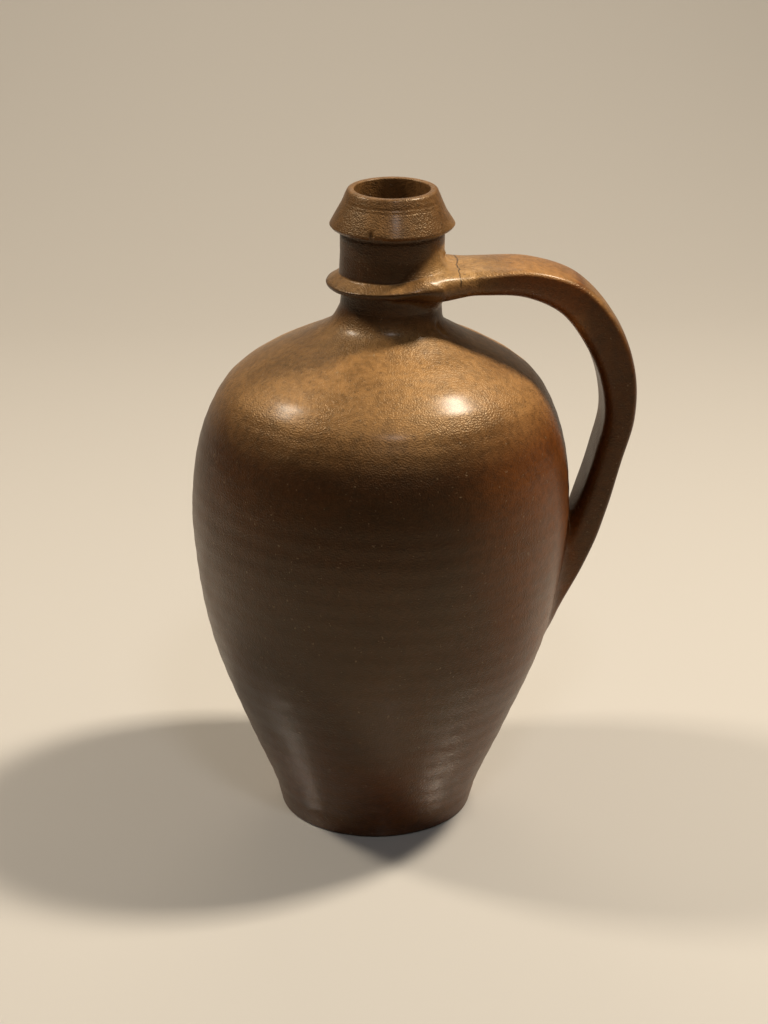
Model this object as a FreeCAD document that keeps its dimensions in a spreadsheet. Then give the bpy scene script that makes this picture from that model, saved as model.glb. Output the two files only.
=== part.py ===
"""A thrown stoneware bottle jug: hollow ovoid body on a flat foot, narrow neck with a collar ring and
a wedge-shaped lip, and a pulled strap handle from the collar to the belly.  Millimetres.

The jug stands on z = 0 with its origin at the centre of the foot, +Z up, and the handle towards +X.
It is one fired piece, so it is one body: two thrown forms, then the strap, then the hollow inside."""
import FreeCAD, Part
import math
import os

import Sketcher
from FreeCAD import Placement, Rotation, Vector

# Driving sizes.  Each is written once, here, and every sketch reads it from the sheet.
SIZES = {
    # body, measured from the axis it was thrown on
    "foot_radius": 44.3,
    "foot_flare": 10.8,  # how far the foot stands out past the belly curve carried down to the table
    "foot_curve": 184.0,  # radius of the hollow curve above the foot
    "foot_trim": 1.5,  # clay below the table line, cut away flat
    "foot_edge": 1.2,
    "belly_radius": 84.4,
    "shoulder_rise": 80.7,  # from the belly's widest level up to the shoulder height
    "shoulder_curve": 109.0,  # first, slow curve above the belly
    "shoulder_turn": 20.8,  # degrees it turns through
    "crown_curve": 49.1,  # second, quick curve onto the crown
    "shoulder_height": 231.0,  # where the crown would meet a neck on the same axis
    "lean": 0.95,  # degrees the body leans towards the handle
    # walls
    "wall": 6.2,
    "heel_wall": 9.5,
    "base_wall": 8.0,
    "base_corner": 14.0,
    # neck, on its own upright axis
    "neck_radius": 23.0,
    "neck_shift": 7.5,
    "neck_root": 12.0,
    "bore_radius": 16.4,
    "bore_root": 4.0,
    # collar ring, lip and rim, heights above the shoulder
    "ring_rise": 16.4,
    "ring_radius": 29.0,
    "ring_thickness": 5.2,
    "ring_edge": 1.3,
    "lip_rise": 42.6,
    "lip_radius": 26.8,
    "lip_edge": 1.5,
    "rim_rise": 59.0,
    "rim_width": 3.4,
    "rim_edge": 1.0,
    # strap handle
    "finger_gap": 14.2,  # clear space between the belly's widest level and the strap
    "strap_reach": 20.0,  # level run from the neck's axis to where the strap starts to arch
    "strap_drop": 1.8,  # how far that place is below the collar's middle
    "strap_climb": 13.0,  # degrees the strap rises there
    "arch_turn": 30.0,  # degrees the slow arch turns through
    "arch_curve": 82.0,
    "fall_curve": 420.0,
    "tail_height": 80.0,
    "tail_depth": 5.6,  # how far the strap's middle is below the belly's skin at the tail
    "strap_width": 27.5,
    "root_spread": 28.0,  # extra width where the strap wraps the collar
    "root_reach": 26.0,  # how quickly that dies away along the strap
    "tail_pinch": 6.0,  # width lost towards the tail
    "tail_run": 60.0,  # length over which the tail thins
    "strap_thickness": 13.5,
    "root_thinning": 9.0,
    "tail_thinning": 8.5,
    "turn_swell": 4.0,  # extra thickness where the strap turns down
    "swell_heading": 50.0,  # degrees below level the strap heads where it is thickest
    "swell_span": 120.0,  # degrees of turning over which the swelling comes and goes
    "strap_corner": 4.6,
    "strap_crown": 1.6,
    "root_crown": 4.0,
}
STATIONS = 10  # sections along the free strap
CORNER_SHARE = 0.9  # the most of half the strap's thickness that a round corner takes
HIDDEN_SHARE = 0.96  # width of the strap's first section, as a share of the neck that hides it
NEAR = 0.5  # how closely an edge's span is matched when it is looked for

DOC = FreeCAD.newDocument("Jug")
SHEET = DOC.addObject("Spreadsheet::Sheet", "Sizes")
for row, (alias, value) in enumerate(SIZES.items(), start=1):
    SHEET.set(f"A{row}", alias)
    SHEET.set(f"B{row}", str(value))
    SHEET.setAlias(f"B{row}", alias)
DOC.recompute()


def size(alias):
    return float(getattr(SHEET, alias))


def belly_height():
    """The level where the belly is widest; it moves with the shoulder."""
    return size("shoulder_height") - size("shoulder_rise")


# ---------------------------------------------------------------- plane geometry
def polar(centre, radius, angle):
    return centre + Vector(radius * math.cos(angle), radius * math.sin(angle), 0)


def bearing(centre, point):
    return math.atan2(point.y - centre.y, point.x - centre.x)


def circles_meet(centre_a, radius_a, centre_b, radius_b, side):
    """The point at radius_a from centre_a and radius_b from centre_b; side +1 or -1 picks which."""
    span = (centre_b - centre_a).Length
    turn = math.acos((radius_a**2 + span**2 - radius_b**2) / (2 * radius_a * span))
    return polar(centre_a, radius_a, bearing(centre_a, centre_b) + side * turn)


def tangent_bearing(centre_a, radius_a, centre_b, radius_b, side):
    """The bearing, from both centres, at which one straight line touches both circles."""
    turn = math.acos((radius_a - radius_b) / (centre_b - centre_a).Length)
    return bearing(centre_a, centre_b) + side * turn


def upright_arc(top, foot):
    """Centre and radius of the arc through foot that stands upright at top."""
    run = top.x - foot.x
    radius = (run**2 + (top.y - foot.y) ** 2) / (2 * run)
    return top - Vector(radius, 0, 0), radius


# ---------------------------------------------------------------- sketching
class Outline:
    """A sketch drawn piece by piece; START, END and CENTRE name the points of a piece."""

    START, END, CENTRE = 1, 2, 3
    ORIGIN = (-1, 1)
    UPRIGHT_AXIS = -2

    def __init__(self, body, name, role, offset=Placement()):
        plane = next(item for item in body.Origin.OriginFeatures if item.Role == role)
        self.sketch = body.newObject("Sketcher::SketchObject", name)
        self.sketch.AttachmentSupport = [(plane, "")]
        self.sketch.MapMode = "FlatFace"
        self.sketch.AttachmentOffset = offset

    def line(self, start, end):
        return self.sketch.addGeometry(Part.LineSegment(start, end))

    def arc(self, centre, radius, first, last):
        circle = Part.Circle(centre, Vector(0, 0, 1), radius)
        return self.sketch.addGeometry(Part.ArcOfCircle(circle, first, last))

    def loop(self, *corners):
        """Lines from corner to corner and back to the first."""
        first = None
        for start, end in zip(corners, corners[1:] + corners[:1]):
            piece = self.line(start, end)
            if first is None:
                first = piece
            else:
                self.corner(piece - 1, self.END, piece, self.START)
        self.corner(piece, self.END, first, self.START)
        return range(first, piece + 1)

    def point(self, place):
        return self.sketch.addGeometry(Part.Point(place), True)

    def hold(self, kind, *what):
        return self.sketch.addConstraint(Sketcher.Constraint(kind, *what))

    def corner(self, piece, piece_end, other, other_end):
        self.hold("Coincident", piece, piece_end, other, other_end)

    def smooth(self, piece, piece_end, other, other_end):
        self.hold("Tangent", piece, piece_end, other, other_end)

    def bind(self, name, formula, kind, *what):
        """A dimension called name that follows formula, written in the sheet's aliases."""
        index = self.hold(kind, *what)
        self.sketch.renameConstraint(index, name)
        self.sketch.setExpression(f"Constraints.{name}", formula)

    def place(self, name, piece, end, across, up):
        """Dimensions a point from the origin."""
        here = self.sketch.getPoint(piece, end)
        self.bind(f"{name}_across", across, "DistanceX", *self.ORIGIN, piece, end, here.x)
        self.bind(f"{name}_up", up, "DistanceY", *self.ORIGIN, piece, end, here.y)


def lean_over():
    """Turns a sketch of the thrown body about the centre of the foot."""
    return Placement(Vector(), Rotation(Vector(0, 0, 1), -size("lean")))


def over_neck():
    return Placement(Vector(size("neck_shift"), 0, 0), Rotation())


# ---------------------------------------------------------------- the thrown body
BELLY_HEIGHT = "Sizes.shoulder_height - Sizes.shoulder_rise"


def draw_shoulder(outline, belly_piece, inset):
    """From the belly up over the shoulder to the crown, in to the axis and back to the base line.

    inset is the name of the wall between this outline and the outer skin, or None for the skin."""
    depth = size(inset) if inset else 0
    less = f" - Sizes.{inset}" if inset else ""
    tip_from = "bore_radius" if inset else "neck_radius"
    belly = Vector(size("belly_radius") - depth, belly_height(), 0)
    slow_radius = size("shoulder_curve") - depth
    quick_radius = size("crown_curve") - depth
    turn = math.radians(size("shoulder_turn"))
    slow_centre = belly - Vector(slow_radius, 0, 0)
    shoulder = polar(slow_centre, slow_radius, turn)
    quick_centre = polar(shoulder, quick_radius, turn + math.pi)
    root = Vector(size("neck_radius"), size("shoulder_height"), 0)
    slope = tangent_bearing(quick_centre, quick_radius + depth, root, 0, -1)
    crown = polar(quick_centre, quick_radius, slope)
    tip_radius = size(tip_from) - size("neck_shift")
    tip = Vector(tip_radius, crown.y + (crown.x - tip_radius) / math.tan(slope), 0)

    slow = outline.arc(slow_centre, slow_radius, 0, turn)
    quick = outline.arc(quick_centre, quick_radius, turn, slope)
    rise = outline.line(crown, tip)
    top = outline.line(tip, Vector(0, tip.y, 0))
    base_height = outline.sketch.getPoint(0, Outline.START).y
    axis = outline.line(Vector(0, tip.y, 0), Vector(0, base_height, 0))
    neck_root = outline.point(root)

    outline.smooth(belly_piece, Outline.END, slow, Outline.START)
    outline.smooth(slow, Outline.END, quick, Outline.START)
    outline.smooth(quick, Outline.END, rise, Outline.START)
    outline.corner(rise, Outline.END, top, Outline.START)
    outline.corner(top, Outline.END, axis, Outline.START)
    outline.corner(axis, Outline.END, 0, Outline.START)
    outline.hold("Horizontal", top)
    outline.hold("PointOnObject", axis, Outline.START, Outline.UPRIGHT_AXIS)
    outline.hold("PointOnObject", axis, Outline.END, Outline.UPRIGHT_AXIS)
    outline.hold("Horizontal", belly_piece, Outline.CENTRE, belly_piece, Outline.END)
    outline.place("belly", slow, Outline.START, f"Sizes.belly_radius{less}", BELLY_HEIGHT)
    outline.bind("slow", f"Sizes.shoulder_curve{less}", "Radius", slow, slow_radius)
    outline.bind("turn", "Sizes.shoulder_turn * 1 deg", "Angle", slow, turn)
    outline.bind("quick", f"Sizes.crown_curve{less}", "Radius", quick, quick_radius)
    outline.place("root", neck_root, Outline.START, "Sizes.neck_radius", "Sizes.shoulder_height")
    if inset:
        outline.bind("crown", f"Sizes.{inset}", "Distance", neck_root, Outline.START, rise, depth)
    else:
        outline.hold("PointOnObject", neck_root, Outline.START, rise)
    tip_formula = f"Sizes.{tip_from} - Sizes.neck_shift"
    outline.bind("tip", tip_formula, "DistanceX", *Outline.ORIGIN, rise, Outline.END, tip_radius)


def outer_skin(body):
    """The foot's hollow curve, then the belly and shoulder, closed along the axis."""
    outline = Outline(body, "outer_skin", "XZ_Plane", lean_over())
    base = -size("foot_trim")
    foot = Vector(size("foot_radius"), base, 0)
    heel = Vector(size("foot_radius") - size("foot_flare"), base, 0)
    belly = Vector(size("belly_radius"), belly_height(), 0)
    belly_centre, belly_curve = upright_arc(belly, heel)
    foot_curve = size("foot_curve")
    foot_centre = circles_meet(foot, foot_curve, belly_centre, belly_curve + foot_curve, -1)
    lift = bearing(belly_centre, foot_centre)

    floor = outline.line(Vector(0, base, 0), foot)
    hollow = outline.arc(foot_centre, foot_curve, lift + math.pi, bearing(foot_centre, foot))
    side = outline.arc(belly_centre, belly_curve, lift, 0)
    draw_shoulder(outline, side, None)
    heel_mark = outline.point(heel)
    outline.hold("Horizontal", floor)
    outline.corner(floor, Outline.END, hollow, Outline.END)
    outline.smooth(hollow, Outline.START, side, Outline.START)
    outline.place("foot", floor, Outline.END, "Sizes.foot_radius", "-Sizes.foot_trim")
    heel_radius = "Sizes.foot_radius - Sizes.foot_flare"
    outline.place("heel", heel_mark, Outline.START, heel_radius, "-Sizes.foot_trim")
    outline.hold("PointOnObject", heel_mark, Outline.START, side)
    outline.bind("hollow", "Sizes.foot_curve", "Radius", hollow, foot_curve)
    return outline.sketch


def inner_skin(body):
    """The hollow: a rounded floor corner, then the belly and shoulder one wall inside the skin."""
    outline = Outline(body, "inner_skin", "XZ_Plane", lean_over())
    base = size("base_wall")
    heel = Vector(size("foot_radius") - size("heel_wall"), base, 0)
    belly = Vector(size("belly_radius") - size("wall"), belly_height(), 0)
    belly_centre, belly_curve = upright_arc(belly, heel)
    corner = size("base_corner")
    rise = base + corner - belly_centre.y
    run = math.sqrt((belly_curve - corner) ** 2 - rise**2)
    corner_centre = belly_centre + Vector(run, rise, 0)
    lift = bearing(belly_centre, corner_centre)

    floor = outline.line(Vector(0, base, 0), Vector(corner_centre.x, base, 0))
    bend = outline.arc(corner_centre, corner, -math.pi / 2, lift)
    side = outline.arc(belly_centre, belly_curve, lift, 0)
    draw_shoulder(outline, side, "wall")
    heel_mark = outline.point(heel)
    outline.hold("Horizontal", floor)
    outline.smooth(floor, Outline.END, bend, Outline.START)
    outline.smooth(bend, Outline.END, side, Outline.START)
    heel_radius = "Sizes.foot_radius - Sizes.heel_wall"
    outline.place("heel", heel_mark, Outline.START, heel_radius, "Sizes.base_wall")
    outline.hold("PointOnObject", heel_mark, Outline.START, side)
    outline.hold("Horizontal", heel_mark, Outline.START, floor, Outline.START)
    outline.bind("bend", "Sizes.base_corner", "Radius", bend, corner)
    return outline.sketch


# ---------------------------------------------------------------- neck, collar ring, lip and bore
NECK = "Sizes.neck_radius"
SHOULDER = "Sizes.shoulder_height"
RING_LOW = f"{SHOULDER} + Sizes.ring_rise"
LIP_LOW = f"{SHOULDER} + Sizes.lip_rise"
RIM = f"{SHOULDER} + Sizes.rim_rise"
RIM_OUTER = "Sizes.bore_radius + Sizes.rim_width"


def neck_skin(body):
    """The neck with its bevelled collar ring and wedge lip, drawn from the neck's own axis."""
    outline = Outline(body, "neck_skin", "XZ_Plane", over_neck())
    shoulder, neck = size("shoulder_height"), size("neck_radius")
    low = shoulder - size("neck_root")
    ring, ring_low, ring_edge = size("ring_radius"), shoulder + size("ring_rise"), size("ring_edge")
    lip, lip_low, lip_edge = size("lip_radius"), shoulder + size("lip_rise"), size("lip_edge")
    rim, rim_edge = shoulder + size("rim_rise"), size("rim_edge")
    rim_outer = size("bore_radius") + size("rim_width")
    ring_top = ring_low + size("ring_thickness")
    pieces = outline.loop(
        Vector(0, low, 0),
        Vector(neck, low, 0),
        Vector(neck, ring_low, 0),
        Vector(ring - ring_edge, ring_low, 0),
        Vector(ring, ring_low + ring_edge, 0),
        Vector(neck, ring_top, 0),
        Vector(neck, lip_low, 0),
        Vector(lip - lip_edge, lip_low, 0),
        Vector(lip, lip_low + lip_edge, 0),
        Vector(rim_outer, rim - rim_edge, 0),
        Vector(rim_outer - rim_edge, rim, 0),
        Vector(0, rim, 0),
    )
    base, stem, ring_under, ring_bevel, ring_back, throat = pieces[:6]
    lip_under, lip_bevel, lip_back, rim_bevel, top, axis = pieces[6:]
    for level in (base, ring_under, lip_under, top):
        outline.hold("Horizontal", level)
    for upright in (stem, throat, axis):
        outline.hold("Vertical", upright)
    outline.hold("PointOnObject", axis, Outline.END, Outline.UPRIGHT_AXIS)
    corners = (
        ("stem", base, NECK, f"{SHOULDER} - Sizes.neck_root"),
        ("ring_under", ring_under, "Sizes.ring_radius - Sizes.ring_edge", RING_LOW),
        ("ring_bevel", ring_bevel, "Sizes.ring_radius", f"{RING_LOW} + Sizes.ring_edge"),
        ("ring_back", ring_back, NECK, f"{RING_LOW} + Sizes.ring_thickness"),
        ("lip_under", lip_under, "Sizes.lip_radius - Sizes.lip_edge", LIP_LOW),
        ("lip_bevel", lip_bevel, "Sizes.lip_radius", f"{LIP_LOW} + Sizes.lip_edge"),
        ("lip_back", lip_back, RIM_OUTER, f"{RIM} - Sizes.rim_edge"),
        ("rim_bevel", rim_bevel, f"{RIM_OUTER} - Sizes.rim_edge", RIM),
    )
    for name, piece, across, up in corners:
        outline.place(name, piece, Outline.END, across, up)
    return outline.sketch


def bore_skin(body):
    """The way in: a straight bore with a bevel at the rim, open above it."""
    outline = Outline(body, "bore_skin", "XZ_Plane", over_neck())
    bore, rim_edge = size("bore_radius"), size("rim_edge")
    rim = size("shoulder_height") + size("rim_rise")
    low = size("shoulder_height") - size("neck_root")
    clear = rim + rim_edge
    pieces = outline.loop(
        Vector(0, low, 0),
        Vector(bore, low, 0),
        Vector(bore, rim - rim_edge, 0),
        Vector(bore + rim_edge, rim, 0),
        Vector(bore + rim_edge, clear, 0),
        Vector(0, clear, 0),
    )
    base, side, bevel, lift, top, axis = pieces
    for level in (base, top):
        outline.hold("Horizontal", level)
    for upright in (side, lift, axis):
        outline.hold("Vertical", upright)
    outline.hold("PointOnObject", axis, Outline.END, Outline.UPRIGHT_AXIS)
    outline.place("bore", base, Outline.END, "Sizes.bore_radius", f"{SHOULDER} - Sizes.neck_root")
    outline.place("bevel", bevel, Outline.END, "Sizes.bore_radius + Sizes.rim_edge", RIM)
    bevel_foot = (*Outline.ORIGIN, side, Outline.END, rim - rim_edge)
    outline.bind("bevel_foot", f"{RIM} - Sizes.rim_edge", "DistanceY", *bevel_foot)
    clear_top = (*Outline.ORIGIN, top, Outline.START, clear)
    outline.bind("clear", f"{RIM} + Sizes.rim_edge", "DistanceY", *clear_top)
    return outline.sketch


# ---------------------------------------------------------------- the strap handle
def belly_skin_at(height):
    """How far out the leaning belly's skin stands on the handle's side at a height below the belly."""
    belly = Vector(size("belly_radius"), belly_height(), 0)
    heel = Vector(size("foot_radius") - size("foot_flare"), -size("foot_trim"), 0)
    centre, radius = upright_arc(belly, heel)
    return centre.x + math.sqrt(radius**2 - (height - centre.y) ** 2) + lean_shift(height)


def lean_shift(height):
    return height * math.tan(math.radians(size("lean")))


class StrapLine:
    """The strap's middle line, seen from the side: level out of the collar, a slow arch, a quick turn
    down past the belly, and a long, nearly straight fall into the belly's skin."""

    def __init__(self):
        self.start = Vector(size("neck_shift"), size("shoulder_height") + size("ring_rise"), 0)
        self.start.y += size("ring_thickness") / 2
        arch_start = self.start + Vector(size("strap_reach"), -size("strap_drop"), 0)
        climb = math.radians(size("strap_climb"))
        dip = climb - math.radians(size("arch_turn"))
        arch = size("arch_curve")
        arch_centre = polar(arch_start, arch, climb - math.pi / 2)
        arch_end = polar(arch_centre, arch, dip + math.pi / 2)
        outermost = size("belly_radius") + lean_shift(belly_height())
        outermost += size("finger_gap") + size("strap_thickness") / 2
        turn = (outermost - arch_end.x) / (1 + math.sin(dip))
        turn_centre = polar(arch_centre, arch - turn, dip + math.pi / 2)
        tail_height = size("tail_height")
        tail = Vector(belly_skin_at(tail_height) - size("tail_depth"), tail_height, 0)
        fall = size("fall_curve")
        fall_centre = circles_meet(tail, fall, turn_centre, fall - turn, 1)
        fall_start = bearing(fall_centre, turn_centre)
        self.arcs = (
            (arch_centre, arch, climb + math.pi / 2, dip + math.pi / 2),
            (turn_centre, turn, dip + math.pi / 2, fall_start),
            (fall_centre, fall, fall_start, bearing(fall_centre, tail)),
        )
        self.length = sum(radius * (first - last) for _, radius, first, last in self.arcs)

    def at(self, share):
        """The point and the direction, in radians, at a share of the length after the level run."""
        distance = share * self.length
        for centre, radius, first, last in self.arcs:
            angle = first - distance / radius
            if angle >= last - 1e-9:
                break
            distance -= radius * (first - last)
        return polar(centre, radius, angle), angle - math.pi / 2


def strap_section(body, name, place, heading, flare, hump, pinch):
    """A crowned rectangle with round corners, square to the strap's middle line.

    flare runs from 1 at the collar to 0 along the free strap, and pinch from 0 to 1 at the tail.
    hump is the share of the root's extra crown.
    The strap is thickest where it heads down at the swell's heading."""
    tilt = Rotation(Vector(1, 0, 0), -math.degrees(heading))
    outline = Outline(body, name, "YZ_Plane", Placement(Vector(0, place.y, place.x), tilt))
    side = (size("strap_width") + size("root_spread") * flare - size("tail_pinch") * pinch) / 2
    off_turn = math.degrees(heading) + size("swell_heading")
    swell = max(0, math.cos(math.pi * off_turn / size("swell_span"))) ** 2
    thinning = size("root_thinning") * flare + size("tail_thinning") * pinch
    half = (size("strap_thickness") - thinning + size("turn_swell") * swell) / 2
    crown = size("strap_crown") + size("root_crown") * hump
    soft = min(size("strap_corner"), CORNER_SHARE * half)
    flat = side - soft
    arch = soft + (flat**2 + crown**2) / (2 * crown)
    arch_centre = Vector(0, half + crown - arch, 0)
    shed = bearing(arch_centre, Vector(flat, half - soft, 0))
    quarter = math.pi / 2

    under = outline.line(Vector(-flat, -half, 0), Vector(flat, -half, 0))
    low_right = outline.arc(Vector(flat, soft - half, 0), soft, -quarter, 0)
    right = outline.line(Vector(side, soft - half, 0), Vector(side, half - soft, 0))
    high_right = outline.arc(Vector(flat, half - soft, 0), soft, 0, shed)
    outer = outline.arc(arch_centre, arch, shed, math.pi - shed)
    high_left = outline.arc(Vector(-flat, half - soft, 0), soft, math.pi - shed, math.pi)
    left = outline.line(Vector(-side, half - soft, 0), Vector(-side, soft - half, 0))
    low_left = outline.arc(Vector(-flat, soft - half, 0), soft, math.pi, 3 * quarter)
    top = outline.point(Vector(0, half + crown, 0))
    pieces = (under, low_right, right, high_right, outer, high_left, left, low_left)
    for piece, after in zip(pieces, pieces[1:] + pieces[:1]):
        outline.smooth(piece, Outline.END, after, Outline.START)
    for corner in (high_right, high_left, low_left):
        outline.hold("Equal", low_right, corner)
    for upright in (right, left):
        outline.hold("Vertical", upright)
    centres = (low_right, Outline.CENTRE, low_left, Outline.CENTRE)
    outline.hold("Symmetric", *centres, Outline.UPRIGHT_AXIS)
    outline.hold("PointOnObject", outer, Outline.CENTRE, Outline.UPRIGHT_AXIS)
    outline.hold("PointOnObject", top, Outline.START, Outline.UPRIGHT_AXIS)
    outline.hold("PointOnObject", top, Outline.START, outer)

    flared, humped = f"* {flare:.6f}", f"* {hump:.6f}"
    pinched, swelled = f"* {pinch:.6f}", f"* {swell:.6f}"
    spread = f"Sizes.root_spread {flared} - Sizes.tail_pinch {pinched}"
    side_formula = f"(Sizes.strap_width + {spread}) / 2"
    thinned = f"Sizes.root_thinning {flared} - Sizes.tail_thinning {pinched}"
    half_formula = f"(Sizes.strap_thickness - {thinned} + Sizes.turn_swell {swelled}) / 2"
    soft_formula = f"min(Sizes.strap_corner; {CORNER_SHARE} * {half_formula})"
    edge_formula = f"{half_formula} - {soft_formula}"
    top_formula = f"{half_formula} + Sizes.strap_crown + Sizes.root_crown {humped}"
    origin = Outline.ORIGIN
    outline.bind("soft", soft_formula, "Radius", low_right, soft)
    outline.bind("side", side_formula, "DistanceX", *origin, right, Outline.START, side)
    outline.bind("under", half_formula, "DistanceY", under, Outline.START, *origin, half)
    outline.bind("edge", edge_formula, "DistanceY", *origin, right, Outline.END, half - soft)
    outline.bind("crown", top_formula, "DistanceY", *origin, top, Outline.START, half + crown)
    return outline.sketch


def strap_sections(body):
    """One section hidden in the neck, then even stations down the middle line to the tail."""
    line = StrapLine()
    hidden_width = HIDDEN_SHARE * 2 * size("neck_radius")
    hidden_flare = (hidden_width - size("strap_width")) / size("root_spread")
    sections = [strap_section(body, "strap_0", line.start, 0, hidden_flare, 0, 0)]
    for station in range(STATIONS + 1):
        share = station / STATIONS
        place, heading = line.at(share)
        distance = size("strap_reach") + share * line.length
        flare = math.exp(-distance / size("root_reach"))
        pinch = max(0, 1 - (1 - share) * line.length / size("tail_run")) ** 2
        name = f"strap_{station + 1}"
        sections.append(strap_section(body, name, place, heading, flare, flare, pinch))
    return sections


# ---------------------------------------------------------------- features, in the order of the clay
def turned(body, kind, name, sketch):
    """A revolution or groove of a sketch about the sketch's own upright axis."""
    feature = body.newObject(kind, name)
    feature.Profile = sketch
    feature.ReferenceAxis = (sketch, ["V_Axis"])
    feature.Angle = 360
    return feature


def eased(body, kind, name, base, dimension, alias, test):
    """A fillet or chamfer, as large as the sheet says, on the edges of base that pass the test."""
    DOC.recompute()
    edges = enumerate(base.Shape.Edges, start=1)
    ease = body.newObject(kind, name)
    ease.Base = (base, [f"Edge{number}" for number, edge in edges if test(edge.BoundBox)])
    ease.setExpression(dimension, f"Sizes.{alias}")


def rounded(body, name, base, alias, test):
    eased(body, "PartDesign::Fillet", name, base, "Radius", alias, test)


def ring_between(radius, low, high):
    """A test for an edge that goes round an upright cylinder somewhere between two heights."""

    def is_ring(box):
        return abs(box.YLength - 2 * radius) < NEAR and low < box.ZMin and box.ZMax < high

    return is_ring


def make_jug():
    body = DOC.addObject("PartDesign::Body", "Jug")
    body.Label = "jug"
    body.Placement = Placement(Vector(0, 0, 0), Rotation())
    root_low = size("shoulder_height") - size("neck_root")
    ring_low = size("shoulder_height") + size("ring_rise")

    turned(body, "PartDesign::Revolution", "thrown_body", outer_skin(body))
    neck = turned(body, "PartDesign::Revolution", "thrown_neck", neck_skin(body))
    neck_root = ring_between(size("neck_radius"), root_low, ring_low - NEAR)
    rounded(body, "neck_root_curve", neck, "neck_root", neck_root)

    sections = strap_sections(body)
    strap = body.newObject("PartDesign::AdditiveLoft", "strap")
    strap.Profile = sections[0]
    strap.Sections = sections[1:]

    turned(body, "PartDesign::Groove", "hollow", inner_skin(body))
    bore = turned(body, "PartDesign::Groove", "bore", bore_skin(body))
    bore_root = ring_between(size("bore_radius"), root_low, ring_low)
    rounded(body, "bore_root_curve", bore, "bore_root", bore_root)

    ground = Outline(body, "ground", "XY_Plane")
    spread = size("belly_radius")
    disc = ground.sketch.addGeometry(Part.Circle(Vector(), Vector(0, 0, 1), spread))
    ground.hold("Coincident", disc, Outline.CENTRE, *Outline.ORIGIN)
    ground.bind("disc", "Sizes.belly_radius", "Radius", disc, spread)
    foot = body.newObject("PartDesign::Pocket", "flat_foot")
    foot.Profile = ground.sketch
    foot.Type = "ThroughAll"

    def on_the_ground(box):
        return abs(box.ZMin) < NEAR and abs(box.ZMax) < NEAR

    eased(body, "PartDesign::Chamfer", "foot_edge_bevel", foot, "Size", "foot_edge", on_the_ground)
    DOC.recompute()
    return body


def check(body):
    """Stops unless every object was made and the jug is one sound solid that stands on z = 0."""
    for item in DOC.Objects:
        if {"Invalid", "Error"} & set(item.State):
            raise SystemExit(f"{item.Name} was not made: {item.State}")
    shape = body.Shape
    if shape.isNull() or not shape.isValid() or len(shape.Solids) != 1:
        raise SystemExit("the jug is not one sound solid")
    box = shape.optimalBoundingBox(False, False)
    print(f"jug {box.XLength:.1f} x {box.YLength:.1f} x {box.ZLength:.1f} mm, from z {box.ZMin:.2f}")
    print(f"clay {shape.Volume / 1000:.0f} ml, {len(shape.Faces)} faces")


JUG = make_jug()
check(JUG)
os.makedirs("parts", exist_ok=True)
JUG.Shape.exportStep(os.path.join("parts", f"{JUG.Label}.step"))
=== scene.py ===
# %% [markdown]
# # A salt-glazed stoneware bottle jug
#
# This lesson dresses one pot: a jug thrown on the wheel in brown stoneware clay, with a narrow neck
# for a cork, a collar ring, a wedge-shaped lip, and a strap handle pulled by hand.  The imported CAD
# solid gives its place and its size.  A solid from CAD is mirror-smooth and has hard seams where the
# strap meets the pot, so here the pot is made again as a mesh, with the marks of the wheel and of the
# potter's thumb, and the mesh stands for the solid.
#
# Every script of this kind starts by loading the frame.  Its box is kept, and its top gives the pot's
# height.

# %% Load the frame
import math

import bmesh
import bpy
import numpy as np
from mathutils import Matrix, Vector, bvhtree, noise


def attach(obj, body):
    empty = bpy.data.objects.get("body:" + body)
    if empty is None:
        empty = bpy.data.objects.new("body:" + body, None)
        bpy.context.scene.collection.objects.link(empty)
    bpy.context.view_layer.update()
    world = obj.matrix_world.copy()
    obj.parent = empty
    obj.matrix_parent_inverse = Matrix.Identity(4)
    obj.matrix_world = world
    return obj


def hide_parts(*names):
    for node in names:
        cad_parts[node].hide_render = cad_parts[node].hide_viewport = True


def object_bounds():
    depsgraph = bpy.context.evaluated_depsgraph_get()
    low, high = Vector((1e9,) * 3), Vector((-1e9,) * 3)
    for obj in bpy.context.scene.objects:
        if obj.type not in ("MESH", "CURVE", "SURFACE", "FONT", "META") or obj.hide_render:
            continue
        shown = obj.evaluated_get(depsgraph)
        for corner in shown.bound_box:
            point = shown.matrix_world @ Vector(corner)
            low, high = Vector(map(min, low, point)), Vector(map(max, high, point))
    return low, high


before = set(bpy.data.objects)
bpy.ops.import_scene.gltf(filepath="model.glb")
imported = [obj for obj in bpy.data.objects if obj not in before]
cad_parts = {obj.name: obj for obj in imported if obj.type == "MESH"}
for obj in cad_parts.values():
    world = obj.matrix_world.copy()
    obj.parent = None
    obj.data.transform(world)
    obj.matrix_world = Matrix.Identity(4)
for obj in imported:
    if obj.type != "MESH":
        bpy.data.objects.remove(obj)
CAD_LOW, CAD_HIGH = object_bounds()
MM = 0.001
HEIGHT = CAD_HIGH.z / MM
print(f"the solid is {HEIGHT:.0f} mm tall, and {(CAD_HIGH.x - CAD_LOW.x) / MM:.0f} mm over the handle")

# %% [markdown]
# ## The wheel
#
# A thrown pot is a stack of circles.  Blender could spin an outline with its Screw modifier, but the
# clay of this jug moved after it was thrown: the body leans towards the handle, and the neck stands
# upright beside the body's axis.  So each ring of the mesh gets its own centre, and numpy, which
# works on whole rows of numbers at once, lays all the rings in one go.
#
# The outline comes first.  The belly and shoulder are one slow curve through the few places where a
# potter would set the callipers.  A Catmull-Rom curve passes through every one of them.

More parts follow.
